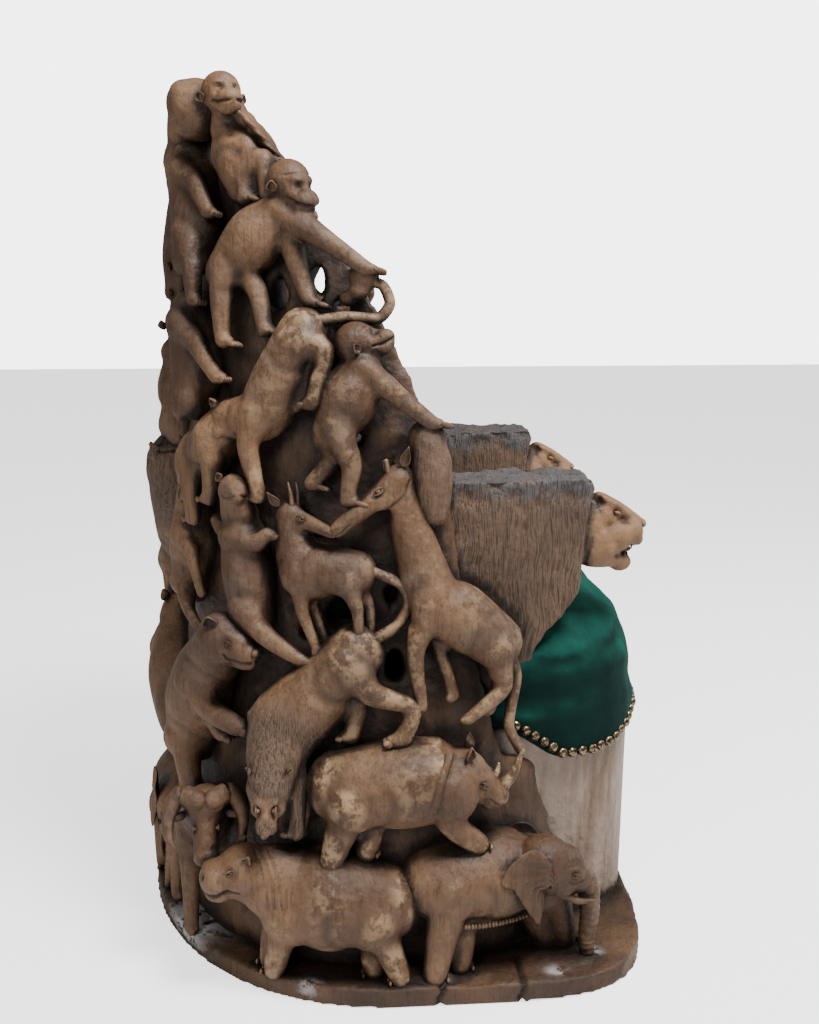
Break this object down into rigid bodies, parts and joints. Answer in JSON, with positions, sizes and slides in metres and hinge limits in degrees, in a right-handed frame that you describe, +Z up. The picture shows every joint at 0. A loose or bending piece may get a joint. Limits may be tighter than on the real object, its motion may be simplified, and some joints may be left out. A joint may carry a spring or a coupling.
{
  "type": "carved throne",
  "caption": "Throne carved from one tree trunk, with climbing beasts in high relief, two lion arms and a nailed velvet seat cushion.",
  "frame": {"origin": "middle of the underside of the base", "axes": "+Z up, the throne faces -Y, X runs across the seat"},
  "size_m": [1.12, 0.9422, 1.5006],
  "materials": {
    "carved_wood": "worn, hand-carved brown hardwood with pale rubbed patches",
    "velvet": "dark green velvet",
    "nail_brass": "antique domed nail heads"
  },
  "bodies": {
    "root": {"carved_throne": "carved_wood", "seat_cushion": "velvet", "brass_nail_01": "nail_brass", "brass_nail_02": "nail_brass", "brass_nail_03": "nail_brass", "brass_nail_04": "nail_brass", "brass_nail_05": "nail_brass", "brass_nail_06": "nail_brass", "brass_nail_07": "nail_brass", "brass_nail_08": "nail_brass", "brass_nail_09": "nail_brass", "brass_nail_10": "nail_brass", "brass_nail_11": "nail_brass", "brass_nail_12": "nail_brass", "brass_nail_13": "nail_brass", "brass_nail_14": "nail_brass", "brass_nail_15": "nail_brass", "brass_nail_16": "nail_brass", "brass_nail_17": "nail_brass", "brass_nail_18": "nail_brass", "brass_nail_19": "nail_brass", "brass_nail_20": "nail_brass", "brass_nail_21": "nail_brass", "brass_nail_22": "nail_brass", "brass_nail_23": "nail_brass", "brass_nail_24": "nail_brass", "brass_nail_25": "nail_brass", "brass_nail_26": "nail_brass", "brass_nail_27": "nail_brass", "brass_nail_28": "nail_brass", "brass_nail_29": "nail_brass", "brass_nail_30": "nail_brass", "brass_nail_31": "nail_brass", "brass_nail_32": "nail_brass", "brass_nail_33": "nail_brass", "brass_nail_34": "nail_brass", "brass_nail_35": "nail_brass", "brass_nail_36": "nail_brass", "brass_nail_37": "nail_brass", "brass_nail_38": "nail_brass", "brass_nail_39": "nail_brass", "brass_nail_40": "nail_brass", "brass_nail_41": "nail_brass", "brass_nail_42": "nail_brass", "brass_nail_43": "nail_brass", "brass_nail_44": "nail_brass", "brass_nail_45": "nail_brass", "brass_nail_46": "nail_brass", "brass_nail_47": "nail_brass", "brass_nail_48": "nail_brass", "brass_nail_49": "nail_brass", "brass_nail_50": "nail_brass", "brass_nail_51": "nail_brass", "brass_nail_52": "nail_brass", "brass_nail_53": "nail_brass", "brass_nail_54": "nail_brass", "brass_nail_55": "nail_brass", "brass_nail_56": "nail_brass", "brass_nail_57": "nail_brass", "brass_nail_58": "nail_brass"}
  },
  "joints": []
}
